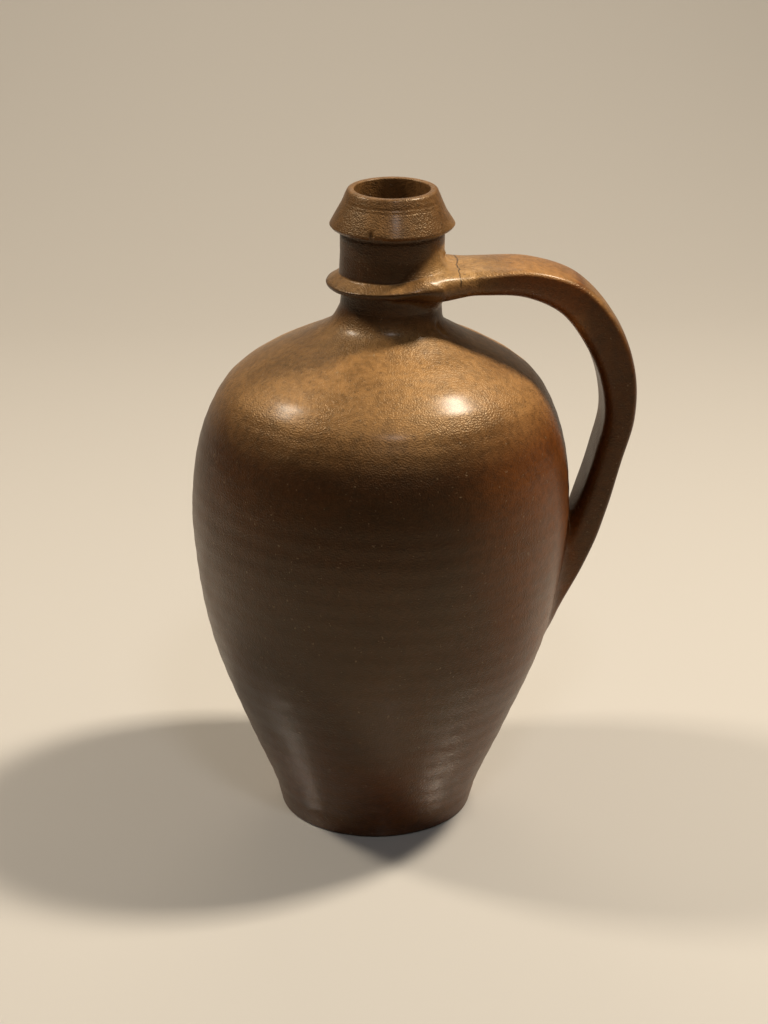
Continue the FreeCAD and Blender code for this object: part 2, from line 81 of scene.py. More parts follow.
# %% A smooth curve through measured places
def smooth_curve(places, spacing):
    """A Catmull-Rom curve through places, as points about spacing apart."""
    places = np.array(places, float)
    before, after = 2 * places[0] - places[1], 2 * places[-1] - places[-2]
    spots = np.vstack([before, places, after])
    steps = np.sqrt(np.linalg.norm(np.diff(spots[:, :2], axis=0), axis=1))
    knots = np.concatenate([[0], np.cumsum(steps)])
    points = []
    for i in range(1, len(spots) - 2):
        count = max(2, round(np.linalg.norm(spots[i + 1, :2] - spots[i, :2]) / spacing))
        t = np.linspace(knots[i], knots[i + 1], count, endpoint=False)[:, None]
        k0, k1, k2, k3 = knots[i - 1 : i + 3]
        a = (k1 - t) / (k1 - k0) * spots[i - 1] + (t - k0) / (k1 - k0) * spots[i]
        b = (k2 - t) / (k2 - k1) * spots[i] + (t - k1) / (k2 - k1) * spots[i + 1]
        c = (k3 - t) / (k3 - k2) * spots[i + 1] + (t - k2) / (k3 - k2) * spots[i + 2]
        d = (k2 - t) / (k2 - k0) * a + (t - k0) / (k2 - k0) * b
        e = (k3 - t) / (k3 - k1) * b + (t - k1) / (k3 - k1) * c
        points.append((k2 - t) / (k2 - k1) * d + (t - k1) / (k2 - k1) * e)
    return np.vstack(points + [places[-1:]])


ROW = 1.9  # millimetres between rings on the belly
FOOT_RADIUS = 44.3
BELLY = (
    (FOOT_RADIUS, 1.4),
    (47.9, 14),
    (60.7, 45),
    (76.0, 87),
    (83.0, 128),
    (84.1, 151),
    (80.2, 180),
    (70.9, 201),
    (61.9, 210),
    (48.2, 218.4),
    (33.8, 225.6),
    (24.9, 231.5),
    (22.2, 238.5),
)  # radius and height
belly_outline = smooth_curve(BELLY, ROW)
print(f"the belly's outline has {len(belly_outline)} rings")

# %% [markdown]
# ## Neck, collar ring and lip
#
# These were cut and pressed with a small wooden tool, so their outline is straight runs with eased
# corners.  A Bevel modifier would ease all corners alike, but here some are crisp and some are soft.
# So a short function walks the corners and puts an arc of its own size at each one.

# %% Straight runs with eased corners
def eased_run(corners, spacing):
    """Straight runs between corners (radius, height, ease); ease is how round the corner is."""
    points = [np.array(corners[0][:2], float)]

    def run_to(place):
        count = max(1, round(np.linalg.norm(place - points[-1]) / spacing))
        start = points[-1]
        points.extend(start + (place - start) * step / count for step in range(1, count + 1))

    for before, here, after in zip(corners, corners[1:], corners[2:]):
        corner, ease = np.array(here[:2], float), here[2]
        back = np.array(before[:2]) - corner
        on = np.array(after[:2]) - corner
        back, on = back / np.linalg.norm(back), on / np.linalg.norm(on)
        half_angle = math.acos(np.clip(back @ on, -1, 1)) / 2
        reach = ease / math.tan(half_angle)
        run_to(corner + back * reach)
        turns = max(2, math.ceil((math.pi - 2 * half_angle) / math.radians(16)))
        for step in range(1, turns + 1):
            share = step / turns
            near, far = corner + back * reach * (1 - share), corner + on * reach * share
            points.append(near + (far - near) * share)
    run_to(np.array(corners[-1][:2], float))
    return np.array(points)


NECK_RADIUS = 22.2
BORE_RADIUS = 16.4
RING_LOW, RING_RADIUS = 247.3, 29.0
LIP_LOW, LIP_RADIUS = 272.5, 27.2
RIM_MIDDLE = (17.4, HEIGHT)
NECK = (
    (NECK_RADIUS, 238.5, 0),
    (NECK_RADIUS, RING_LOW, 0.8),
    (RING_RADIUS - 0.5, RING_LOW + 0.1, 1.0),
    (RING_RADIUS, RING_LOW + 2.0, 0.9),
    (23.1, 252.8, 1.6),
    (22.6, 262.0, 6.0),
    (22.7, LIP_LOW, 0.6),
    (LIP_RADIUS - 1.1, LIP_LOW + 0.2, 0.5),
    (LIP_RADIUS, LIP_LOW + 1.6, 0.6),
    (22.4, 283.0, 12.0),
    (19.3, HEIGHT, 1.8),
    (*RIM_MIDDLE, 0),
)
neck_outline = eased_run(NECK, 0.62)
OUTSIDE = np.vstack([belly_outline[:-1], neck_outline])
print(f"the outside has {len(OUTSIDE)} rings, {len(neck_outline)} of them from the neck up")

# %% [markdown]
# ## Rings into a mesh
#
# The body leans by about one degree, and the neck sits a few millimetres towards the handle, so the
# centre of each ring depends on its height.  The collar ring was pressed up and in at the front by
# the thumb that smeared the handle's root along it.  The rings are joined by four-sided faces.  The
# bottom and the top are closed by one face each, because the join with the strap needs a closed
# body; the top one is taken off again later.

# %% Where each ring's centre lies
AROUND = 236  # points on each ring
LEAN = math.radians(0.95)
NECK_AXIS = 7.5


def ease(value, low, high):
    """0 below low, 1 above high, and a smooth step between."""
    share = np.clip((np.asarray(value, float) - low) / (high - low), 0, 1)
    return share * share * (3 - 2 * share)


def ring_centre(height):
    leaning = np.minimum(height, 222) * math.tan(LEAN)
    return leaning + (NECK_AXIS - leaning) * ease(height, 217, 247)


def bump(value, middle, width):
    """1 at middle, dying away over width."""
    return np.exp(-(((value - middle) / width) ** 2))


def bearing_bump(bearing, middle, width):
    """The same for a bearing in degrees: 0 is towards the handle, -90 towards the front."""
    off = (bearing - middle + 180) % 360 - 180
    return np.exp(-((off / width) ** 2))


print(f"the rings' centres drift from {ring_centre(0):.1f} mm at the foot to {ring_centre(HEIGHT):.1f} mm")

# %% A mesh from rings
PRESS_HEIGHT, PRESS_BEARING = 249.4, -84  # where the thumb pressed the collar ring
PRESS_IN, PRESS_UP = 1.2, 1.1
RIM_TILT, RIM_BACK = 0.022, 19  # the rim drops towards the front, and keeps its height at the back


def thrown_rings(outline, close_start=False, close_end=False):
    """Points and faces of a thrown form, from an outline of (radius, height)."""
    angles = np.linspace(0, 2 * math.pi, AROUND, endpoint=False)
    radius, height = outline[:, :1], outline[:, 1:]
    pressed = bump(height, PRESS_HEIGHT, 3.2) * (radius > NECK_RADIUS)
    pressed = pressed * bearing_bump(np.degrees(angles), PRESS_BEARING, 36)
    radius = radius - PRESS_IN * pressed
    x = ring_centre(height) + radius * np.cos(angles)
    y = radius * np.sin(angles)
    z = height + PRESS_UP * pressed + RIM_TILT * (y - RIM_BACK) * ease(height, 276, HEIGHT)
    points = np.stack([x, y, z], axis=-1).reshape(-1, 3) * MM
    faces = []
    for row in range(len(outline) - 1):
        here, above = row * AROUND, (row + 1) * AROUND
        for k in range(AROUND):
            on = (k + 1) % AROUND
            faces.append((here + k, here + on, above + on, above + k))
    if close_start:
        faces.append(tuple(reversed(range(AROUND))))
    if close_end:
        faces.append(tuple(range(len(points) - AROUND, len(points))))
    return points, faces


def mesh_piece(name, points, faces):
    mesh = bpy.data.meshes.new(name)
    mesh.from_pydata([tuple(p) for p in points], [], faces)
    mesh.update()
    piece = bpy.data.objects.new(name, mesh)
    bpy.context.scene.collection.objects.link(piece)
    return piece


foot_edge = np.array([(FOOT_RADIUS - 1.3, 0.0), (FOOT_RADIUS - 0.3, 0.5)])  # trimmed with a knife
body_points, body_faces = thrown_rings(np.vstack([foot_edge, OUTSIDE]), close_start=True, close_end=True)
jug = mesh_piece("jug_skin", body_points, body_faces)
print(f"the thrown body has {len(jug.data.polygons)} faces")

# %% [markdown]
# ## The pulled strap
#
# A strap handle starts as a carrot of clay that the potter strokes out with a wet hand.  It is
# pressed onto the collar, where it spreads like a tongue around the ring, arches over, turns down
# and is smeared onto the belly.  Its top side is gently crowned, and its edges are crisp.
#
# A bevelled Blender curve has one section all along.  This strap is wide and thin at the collar,
# narrow and thick where it turns down, and thin again at the tail, so a section is set at each
# station and the mesh is made from those sections.

# %% Stations, and one section of the strap
STRAP = (
    (4.0, 248.7, 52.4, 2.4),
    (18.5, 249.1, 46.8, 5.4),
    (31.0, 249.3, 39.6, 8.0),
    (46.5, 249.9, 34.0, 10.2),
    (66.5, 248.8, 30.6, 13.0),
    (84.8, 241.2, 28.6, 15.6),
    (97.8, 225.6, 27.4, 16.6),
    (105.5, 206.8, 27.2, 15.4),
    (107.0, 187.2, 28.0, 13.2),
    (102.6, 168.0, 28.4, 12.2),
    (97.3, 148.8, 28.0, 12.8),
    (90.8, 129.8, 26.4, 13.8),
    (82.8, 112.0, 24.4, 14.2),
    (74.0, 94.0, 22.0, 12.0),
    (66.0, 78.0, 17.0, 7.0),
)  # along x, height, width, thickness
STRAP_STEP = 1.5  # millimetres between sections
TOP_EDGE, UNDER_EDGE = 2.2, 5.6  # how round the edges are: crisp on top, soft below
CROWN, ROOT_CROWN = 1.0, 1.5  # the top swells all along, and more over the root


def strap_section(width, thickness, crown):
    """Points round one section, as (across, up), from the middle of the underside."""
    side, half = width / 2, thickness / 2
    top_edge, under_edge = min(TOP_EDGE, 0.45 * thickness), min(UNDER_EDGE, 0.45 * thickness)
    shares = np.linspace(0, 1, 9)
    under = [(side - under_edge) * s for s in shares[:-1]], [-half] * 8
    low = np.radians(-90 + 90 * np.linspace(0, 1, 7))
    low = side - under_edge + under_edge * np.cos(low), -half + under_edge * (1 + np.sin(low))
    high = np.radians(80 * np.linspace(0, 1, 6))
    high = side - top_edge + top_edge * np.cos(high), half - top_edge + top_edge * np.sin(high)
    across = (side - top_edge) * (1 - np.linspace(0, 1, 12)[1:])
    top = across, half + crown * (1 - (across / side) ** 2)
    right = np.stack([np.concatenate([a[i] for a in (under, low, high, top)]) for i in (0, 1)], axis=-1)
    left = right[-2:0:-1] * (-1, 1)
    return np.vstack([right, left])


print(f"{len(STRAP)} stations, with {len(strap_section(28.0, 13.0, CROWN))} points in each section")

# %% A mesh from sections
stations = smooth_curve(STRAP, STRAP_STEP)
headings = np.gradient(stations[:, :2], axis=0)
headings /= np.linalg.norm(headings, axis=1)[:, None]
strap_points, strap_faces = [], []
for (x, z, width, thickness), (along_x, along_z) in zip(stations, headings):
    crown = CROWN + ROOT_CROWN * bump(x, 38, 18) * float(z > 240)
    section = strap_section(width, thickness, crown * min(1, thickness / 6))
    strap_points.append([(x - along_z * up, across, z + along_x * up) for across, up in section])
GIRTH = len(strap_points[0])
for row in range(len(strap_points) - 1):
    for k in range(GIRTH):
        here, on = row * GIRTH + k, row * GIRTH + (k + 1) % GIRTH
        strap_faces.append((here, on, on + GIRTH, here + GIRTH))
strap_faces.append(tuple(reversed(range(GIRTH))))
strap_faces.append(tuple(range((len(strap_points) - 1) * GIRTH, len(strap_points) * GIRTH)))
strap = mesh_piece("strap", np.array(strap_points).reshape(-1, 3) * MM, strap_faces)
print(f"the strap has {len(strap_points)} sections of {GIRTH} points")

# %% [markdown]
# ## Joining the strap to the pot
#
# A Boolean modifier unites two closed meshes and throws away what is inside the other.  It leaves a
# knife-sharp seam, though, and soft clay never does: the potter runs a thumb along it, and the seam
# becomes a small cove.  So after the union every point near the seam is pushed outwards, most at the
# seam and not at all one thumb's width away, and the seam is then rubbed smooth.  A Bevel modifier
# would fail on the many small faces that the union leaves along the seam.

# %% Unite the two
def surface_tree(piece):
    return bvhtree.BVHTree.FromObject(piece, bpy.context.evaluated_depsgraph_get())


def unite(piece, other):
    union = piece.modifiers.new("union", "BOOLEAN")
    union.operation, union.solver, union.object = "UNION", "EXACT", other
    bpy.context.view_layer.objects.active = piece
    bpy.ops.object.modifier_apply(modifier=union.name)


body_tree, strap_tree = surface_tree(jug), surface_tree(strap)
unite(jug, strap)
bpy.data.objects.remove(strap)
print(f"united, the pot has {len(jug.data.polygons)} faces")

# %% Press a cove into the seam
WIDEST_COVE = 12.0 * MM
RUBS = 14  # how often the thumb goes over the seam
TANGENT = math.sqrt(2) / 4  # with this share of the reach, the cove leaves both faces without a crease


def cove_reach(place):
    """How far from the seam the thumb worked: far under the root and at the neck, less at the tail."""
    x, y, z = place / MM
    under = 6.0 * float(ease(x, 12, 26) * (1 - ease(x, 44, 60)))
    over = (1.2 + 7.0 * float(ease(abs(y), 4, 14))) * float(ease(x, 6, 20) * (1 - ease(x, 44, 60)))
    return (3.6 + (under if z < 249 else over) + 2.4 * float(ease(x, 60, 76))) * MM


def press_cove(piece):
    """Pushes the points near the seam outwards and smooths them."""
    work = bmesh.new()
    work.from_mesh(piece.data)
    near = {}
    for point in work.verts:
        to_body = body_tree.find_nearest(point.co, WIDEST_COVE)
        to_strap = strap_tree.find_nearest(point.co, WIDEST_COVE)
        reach = cove_reach(point.co)
        if to_body[0] is None or to_strap[0] is None or max(to_body[3], to_strap[3]) >= reach:
            continue
        near[point] = (1 - max(to_body[3], to_strap[3]) / reach) ** 2
        out = to_body[1] + to_strap[1]
        if out.length > 0.1:
            point.co += out.normalized() * near[point] * reach * TANGENT
    for _ in range(RUBS):
        moved = {}
        for point, share in near.items():
            around = [edge.other_vert(point).co for edge in point.link_edges]
            middle = sum(around, Vector()) / len(around)
            moved[point] = point.co.lerp(middle, 0.5 * min(1, 2.5 * share))  # less at the cove's rim
        for point, place in moved.items():
            point.co = place
    print(f"a cove was pressed into {len(near)} points")
    work.to_mesh(piece.data)
    work.free()


press_cove(jug)

# %% [markdown]
# ## Opening the mouth
#
# The jug is hollow.  The face that closed the top goes, and the inside is laid in from the same
# ring of points: over the rim, down the bore and out along the inside of the shoulder to the floor.
# A Solidify modifier could make a wall too, but it would copy every mark of the outside, and the
# strap's.  Where both meshes have a point in the same place, the two points become one.

# %% Lay in the inside
INSIDE_NECK = (
    (*RIM_MIDDLE, 0),
    (BORE_RADIUS - 0.3, HEIGHT - 0.1, 0.8),
    (BORE_RADIUS, HEIGHT - 8, 4.0),
    (BORE_RADIUS, 229.5, 2.5),
    (24.0, 223.6, 0),
)
INSIDE_BELLY = (
    (24.0, 223.6),
    (44.0, 212.5),
    (64.5, 196.0),
    (77.5, 152.0),
    (70.5, 92.0),
    (48.0, 30.0),
    (38.0, 12.5),
    (24.0, 8.4),
    (2.0, 8.0),
)
inside_bore = eased_run(INSIDE_NECK, 1.6)
INSIDE = np.vstack([inside_bore[:-1], smooth_curve(INSIDE_BELLY, 6.0)])


def open_mouth(piece):
    points, faces = thrown_rings(INSIDE, close_end=True)
    work = bmesh.new()
    work.from_mesh(piece.data)
    high_up = [face for face in work.faces if face.calc_center_median().z > (HEIGHT - 2) * MM]
    lid = max(high_up, key=lambda face: len(face.verts))
    bmesh.ops.delete(work, geom=[lid], context="FACES_ONLY")
    laid = [work.verts.new(point) for point in points]
    for corners in faces:
        work.faces.new([laid[k] for k in corners])
    bmesh.ops.remove_doubles(work, verts=work.verts, dist=0.02 * MM)
    bmesh.ops.recalc_face_normals(work, faces=work.faces)
    loose = [edge for edge in work.edges if len(edge.link_faces) != 2]
    print(f"the inside adds {len(INSIDE)} rings; {len(loose)} edges are open")
    work.to_mesh(piece.data)
    work.free()


open_mouth(jug)

# %% [markdown]
# ## Marks of the wheel and of use
#
# Fired clay keeps every touch.  The belly is a hair out of round, fingertips left slow spiral ridges
# up the belly and the shoulder, a wooden tool left fine lines on the lip and two deeper ones near
# its top, and there is a groove under the lip.  Later came small pits, a nick in the lip's lower
# edge, a chip beside it and a dent in the strap's root.
#
# A bump in the material would shade such marks but leave the outline smooth.  So each mark moves the
# mesh's own points along their normals, and it is real relief in any light and from any side.  First
# each point is told where it is: how high, at which bearing, and whether on the thrown wall at all.

# %% Smooth noise, and where each point is
def grain(points, scale, seed):
    """Smooth noise at each point, from -1 to 1; scale is the size of its lumps in millimetres."""
    shift = Vector((seed * 7.3, seed * 3.1, seed * 5.7))
    return np.array([noise.noise(Vector(p) / scale + shift) for p in points])


def read_points(piece):
    """Places in millimetres, and normals, of all points of a piece."""
    count = len(piece.data.vertices)
    places, outward = np.empty(count * 3), np.empty(count * 3)
    piece.data.vertices.foreach_get("co", places)
    piece.data.vertex_normals.foreach_get("vector", outward)
    return places.reshape(-1, 3) / MM, outward.reshape(-1, 3)


spots, normals = read_points(jug)
x, y, z = spots.T
off_x = x - ring_centre(z)
radius, bearing = np.hypot(off_x, y), np.degrees(np.arctan2(y, off_x))
skin = np.interp(z, OUTSIDE[:, 1], OUTSIDE[:, 0])
thrown = ease(radius, skin - 4.2, skin - 2.6) * (1 - ease(radius, skin + 2.4, skin + 4.4))
print(f"{int((thrown > 0.5).sum())} of the {len(z)} points lie on the thrown wall")

# %% Marks of the fingers
CLIMB = 7  # millimetres that a spiral ridge climbs in one turn
SHOULDER_RIDGES, BELLY_RIDGES, RIDGE_DEPTH = 6.4, 9.0, 0.07  # millimetres from ridge to ridge, and deep


def spiral(spacing, climb):
    """A wave that runs round the pot like a screw's thread."""
    return np.sin(2 * math.pi * (z + bearing / 360 * climb) / spacing)


relief = -0.16 + 0.22 * grain(spots, 46, 1) + 0.10 * grain(spots, 14, 2)
shoulder = ease(z, 150, 190) * (1 - ease(z, 222, 232))
belly = ease(z, 8, 20) * (1 - shoulder) * (z < 240)
relief += thrown * RIDGE_DEPTH * shoulder * spiral(SHOULDER_RIDGES, CLIMB)
relief += thrown * RIDGE_DEPTH * belly * spiral(BELLY_RIDGES, CLIMB)
relief -= thrown * 0.30 * bump(z, 10.5, 1.6)
print(f"finger marks from {relief.min():.2f} to {relief.max():.2f} mm")

# %% Marks of the wooden tool
TOOL_LINES = 1.3  # millimetres from line to line on the lip
lip = ease(z, 274.0, 275.2) * (1 - ease(z, 287.0, 288.4)) * thrown
relief += lip * 0.06 * spiral(TOOL_LINES, TOOL_LINES) * (0.4 + grain(spots, 12, 5))
relief -= lip * (0.22 * bump(z, 284.9, 0.45) + 0.15 * bump(z, 283.4, 0.4))
relief -= thrown * 0.25 * bump(z, 270.9, 0.6)
relief -= lip * 0.5 * bump(z, 279.5, 3.0) * bearing_bump(bearing, -8, 26)
relief += thrown * bump(z, 250.0, 3.0) * 0.35 * grain(spots, 9, 4)
print(f"with the tool's marks, {relief.min():.2f} to {relief.max():.2f} mm")

# %% Nicks, pits and a dent
PITS = (
    (-30, 229.5, 1.1),
    (-33, 231.8, 0.9),
    (-14, 262.0, -0.8),
    (-52, 190.0, 0.5),
    (-103, 187.0, 0.5),
)  # bearing, height, depth; one depth is below 0, for a bead that stands up
on_lip = radius > 23
relief -= 1.6 * bearing_bump(bearing, -114, 1.8) * bump(z, 274.6, 1.7) * on_lip
relief -= 0.5 * bearing_bump(bearing, -106, 5.0) * bump(z, 273.8, 0.9) * on_lip
relief -= 0.8 * bump(np.linalg.norm(spots - (43.0, -17.5, 253.0), axis=1), 0, 1.8)
pit_width = 1.2 * 180 / (math.pi * np.maximum(radius, 20))  # 1.2 mm, in degrees
for pit_bearing, pit_height, depth in PITS:
    relief -= thrown * depth * bearing_bump(bearing, pit_bearing, pit_width) * bump(z, pit_height, 1.1)
print(f"with the wear, {relief.min():.2f} to {relief.max():.2f} mm")

# %% Move the points
def press_marks(piece):
    """Moves each point by its relief, but keeps the foot flat and the rim at its height."""
    standing = ease(z, 0, 1.2)
    moved = spots + normals * (relief * standing)[:, None]
    moved[:, 2] = np.clip(moved[:, 2], 0, HEIGHT)
    piece.data.vertices.foreach_set("co", (moved * MM).ravel())
    piece.data.update()
    for polygon in piece.data.polygons:
        polygon.use_smooth = True


press_marks(jug)
print(f"{len(relief)} points were moved")

# %% [markdown]
# ## Helpers for finishes
#
# A finish in Blender is a tree of nodes: noise goes through a ramp, the ramp mixes two colours, and
# the mixture goes to the shader.  The same few kinds of node come again and again, so each kind gets
# a small function that adds the node, sets it, links it and hands back its output.

# %% Helpers for materials, noise and colours
def new_material(name):
    material = bpy.data.materials.new(name)
    material.use_nodes = True
    return material, material.node_tree, material.node_tree.nodes["Principled BSDF"]


def noise_node(tree, where, scale, detail, distort=0.0):
    node = tree.nodes.new("ShaderNodeTexNoise")
    values = {"Scale": scale, "Detail": detail, "Roughness": 0.55, "Distortion": distort}
    for socket, value in values.items():
        node.inputs[socket].default_value = value
    tree.links.new(where, node.inputs["Vector"])
    return node.outputs["Fac"]


def ramp_node(tree, value, *stops):
    """A ramp of greys; stops are (position, grey)."""
    node = tree.nodes.new("ShaderNodeValToRGB")
    for element, (position, grey) in zip(node.color_ramp.elements, stops):
        element.position, element.color = position, (grey, grey, grey, 1)
    tree.links.new(value, node.inputs["Fac"])
    return node.outputs["Color"]


def blend_node(tree, share, below, above, kind="MIX"):
    """Mixes two colours, either of them a socket or a fixed colour."""
    node = tree.nodes.new("ShaderNodeMix")
    node.data_type, node.blend_type = "RGBA", kind
    for socket, value in ((node.inputs[0], share), (node.inputs[6], below), (node.inputs[7], above)):
        if isinstance(value, bpy.types.NodeSocket):
            tree.links.new(value, socket)
        else:
            socket.default_value = value if isinstance(value, float) else (*value, 1)
    return node.outputs[2]


print("helpers: new_material, noise_node, ramp_node and blend_node")

# %% Helpers for numbers and bumps
def math_node(tree, operation, first, second=0.0):
    node = tree.nodes.new("ShaderNodeMath")
    node.operation = operation
    for socket, value in zip(node.inputs, (first, second)):
        if isinstance(value, bpy.types.NodeSocket):
            tree.links.new(value, socket)
        else:
            socket.default_value = value
    return node.outputs[0]


def range_node(tree, value, low, high):
    """0 at low, 1 at high, smoothly."""
    node = tree.nodes.new("ShaderNodeMapRange")
    node.interpolation_type = "SMOOTHSTEP"
    tree.links.new(value, node.inputs["Value"])
    node.inputs["From Min"].default_value, node.inputs["From Max"].default_value = low, high
    return node.outputs["Result"]


def bump_node(tree, height, distance, strength, below=None):
    node = tree.nodes.new("ShaderNodeBump")
    node.inputs["Distance"].default_value, node.inputs["Strength"].default_value = distance, strength
    tree.links.new(height, node.inputs["Height"])
    if below is not None:
        tree.links.new(below, node.inputs["Normal"])
    return node.outputs["Normal"]


print("helpers: math_node, range_node and bump_node")

# %% [markdown]
# ## The colours of the glaze
#
# Salt thrown into the hot kiln turns to vapour and settles on the clay as a thin glass.  Its colour
# drifts with the flame between chocolate and umber, and it is rusty beside the thick join.  The dark
# chocolate is also partly painted shade, so that the unlit belly stays deep brown.  The other layers
# are painted light: a golden glow of the lamps on the shoulder, a russet glow on the side towards the
# key lamp, a warm reflection towards the foot, and ochre on the strap and the collar only where the
# clay looks up, where light from above falls.
#
# The colours could be painted on an image that is wrapped round the pot, but a leaning pot with a
# handle unwraps badly.  Here they are layers, one over another like brushed slips.  Each layer has a
# colour, a share, and masks that say where it lies, and a cloudy noise keeps it uneven.  A mask
# follows a height, a place along the pot, the way the clay faces or the distance from the join, all
# in the object's own space, so that it stays on the pot in every view.

# %% Colours, masks and layers
# the chocolate base is partly painted shade: darker than the clay, so that the unlit belly stays deep
# brown
CHOCOLATE = (0.034, 0.011, 0.003)
UMBER = (0.074, 0.025, 0.006)
RUSSET = (0.290, 0.084, 0.013)
OCHRE = (0.500, 0.262, 0.088)
RUST = (0.600, 0.340, 0.120)
MASKS = {
    "lamp_side_glow": ("along", 0.020, 0.080),
    "on_pot": ("along", 0.094, 0.086),
    "on_strap": ("along", 0.086, 0.094),
    "turn": ("height", 0.200, 0.238),
    "foot": ("height", 0.075, 0.010),
    "shoulder": ("height", 0.183, 0.209),
    "below_neck": ("height", 0.240, 0.228),
    "from_ring": ("height", 0.2485, 0.2505),
    "strap_root": ("along", 0.126, 0.062),
    "low_neck": ("height", 0.262, 0.2535),
    "past_neck": ("along", 0.028, 0.035),
    "below_lip": ("height", 0.270, 0.260),
    "lip": ("height", 0.270, 0.276),
    "lit_from_above": ("facing", 0.10, 0.65),
    "rusty": ("from_join", 0.026, 0.008),
}  # what the mask follows, where it is 0 and where it is 1
LAYERS = (
    # painted light: a russet glow on the side towards the key lamp
    (RUSSET, 0.75, ("lamp_side_glow", "on_pot")),
    (RUSSET, 0.22, ("on_strap",)),
    # painted light: ochre on the strap's top at the turn, where light from above falls
    (OCHRE, 0.60, ("on_strap", "turn", "lit_from_above")),
    # painted reflection: a warm russet towards the foot, as from a wooden table below
    (RUSSET, 0.30, ("foot",)),
    # painted light: a golden glow of the lamps over the shoulder
    (OCHRE, 0.86, ("shoulder", "below_neck", "on_pot")),
    # painted light: ochre on the tops of the collar ring and the strap's root, where light from above
    # falls
    (OCHRE, 0.80, ("from_ring", "strap_root", "off_neck", "lit_from_above")),
    (OCHRE, 0.38, ("lip",)),
    (RUST, 0.90, ("rusty",)),
)  # colour, share, masks
print(f"{len(LAYERS)} layers of glaze, held by {len(MASKS)} masks")

# %% Lay the colours over one another
THICK_JOIN = (0.033, -0.006, 0.256)


def layer(tree, below, above, share, *masks):
    """Lays a colour over what is below it, by its share, where all the masks let it."""
    for mask in masks:
        share = math_node(tree, "MULTIPLY", mask, share)
    return blend_node(tree, share, below, above)


def distance_node(tree, where, place):
    node = tree.nodes.new("ShaderNodeVectorMath")
    node.operation = "DISTANCE"
    node.inputs[1].default_value = place
    tree.links.new(where, node.inputs[0])
    return node.outputs["Value"]


def split_node(tree, vector):
    node = tree.nodes.new("ShaderNodeSeparateXYZ")
    tree.links.new(vector, node.inputs[0])
    return node.outputs


def flame_and_lamp_colours(tree, where, normal, cloud):
    """Chocolate and umber by a slow drift, with the layers over them."""
    spot, facing = split_node(tree, where), split_node(tree, normal)["Z"]
    follows = {"along": spot["X"], "height": spot["Z"], "facing": facing}
    follows["from_join"] = distance_node(tree, where, THICK_JOIN)
    masks = {name: range_node(tree, follows[what], low, high) for name, (what, low, high) in MASKS.items()}
    masks["off_neck"] = math_node(tree, "MULTIPLY", masks["below_lip"], masks["past_neck"])
    masks["off_neck"] = math_node(tree, "MAXIMUM", masks["off_neck"], masks["low_neck"])
    uneven = ramp_node(tree, cloud, (0.30, 0.50), (0.68, 1.0))
    drift = ramp_node(tree, noise_node(tree, where, 11, 3), (0.36, 0.0), (0.66, 1.0))
    colour = blend_node(tree, drift, CHOCOLATE, UMBER)
    for above, share, names in LAYERS:
        colour = layer(tree, colour, above, share, *(masks[name] for name in names), uneven)
    return colour


print(f"the join glows rusty round {THICK_JOIN}")

# %% [markdown]
# ## Specks, the crack, the sheen and the peel
#
# Iron in the clay comes through the glass as dark freckles, and small pale flecks sit between them.
# Where the strap's root shrank away from the ring, a fine dark crack runs across it.  Salt glaze
# also beads like orange peel.  The beads are smaller than the mesh's faces, so they are two bumps
# in the material: fine beads, and a slower unevenness below them.  The sheen comes from
# roughness, which drifts like the colours, and from a thin coat of glass.

# %% Specks and crack
FRECKLE = (0.016, 0.007, 0.004)
PALE_FLECK = (0.330, 0.230, 0.130)
CRACK_PLACE, CRACK_WIDTH, CRACK_WANDER = 0.0388, 0.00042, 0.006


def speckle(tree, where, colour):
    mottle = ramp_node(tree, noise_node(tree, where, 340, 3), (0.34, 0.55), (0.62, 1.0))
    colour = blend_node(tree, 0.75, colour, mottle, kind="MULTIPLY")
    freckles = ramp_node(tree, noise_node(tree, where, 620, 2), (0.30, 1.0), (0.38, 0.0))
    colour = layer(tree, colour, FRECKLE, 0.40, freckles)
    flecks = ramp_node(tree, noise_node(tree, where, 560, 1), (0.72, 0.0), (0.77, 1.0))
    return layer(tree, colour, PALE_FLECK, 0.45, flecks)


def crack_across(tree, where, colour):
    """A dark wandering line across the strap's root."""
    spot = split_node(tree, where)
    wander = math_node(tree, "MULTIPLY", noise_node(tree, where, 90, 3), CRACK_WANDER)
    across = math_node(tree, "SUBTRACT", math_node(tree, "ADD", spot["X"], wander), CRACK_PLACE)
    line = range_node(tree, math_node(tree, "ABSOLUTE", across), CRACK_WIDTH, 0.00016)
    return layer(tree, colour, FRECKLE, 0.85, line, range_node(tree, spot["Z"], 0.2500, 0.2515))


print(f"the crack crosses the strap's root {CRACK_PLACE / MM:.0f} mm along")

# %% The stoneware glaze
def peel(tree, where):
    """Fine beads over a slower unevenness."""
    beads = tree.nodes.new("ShaderNodeTexVoronoi")
    beads.feature = "SMOOTH_F1"
    beads.inputs["Scale"].default_value = 1600
    tree.links.new(where, beads.inputs["Vector"])
    slow = bump_node(tree, noise_node(tree, where, 190, 3), 0.0008, 0.22)
    return bump_node(tree, beads.outputs["Distance"], 0.0005, 0.48, below=slow)


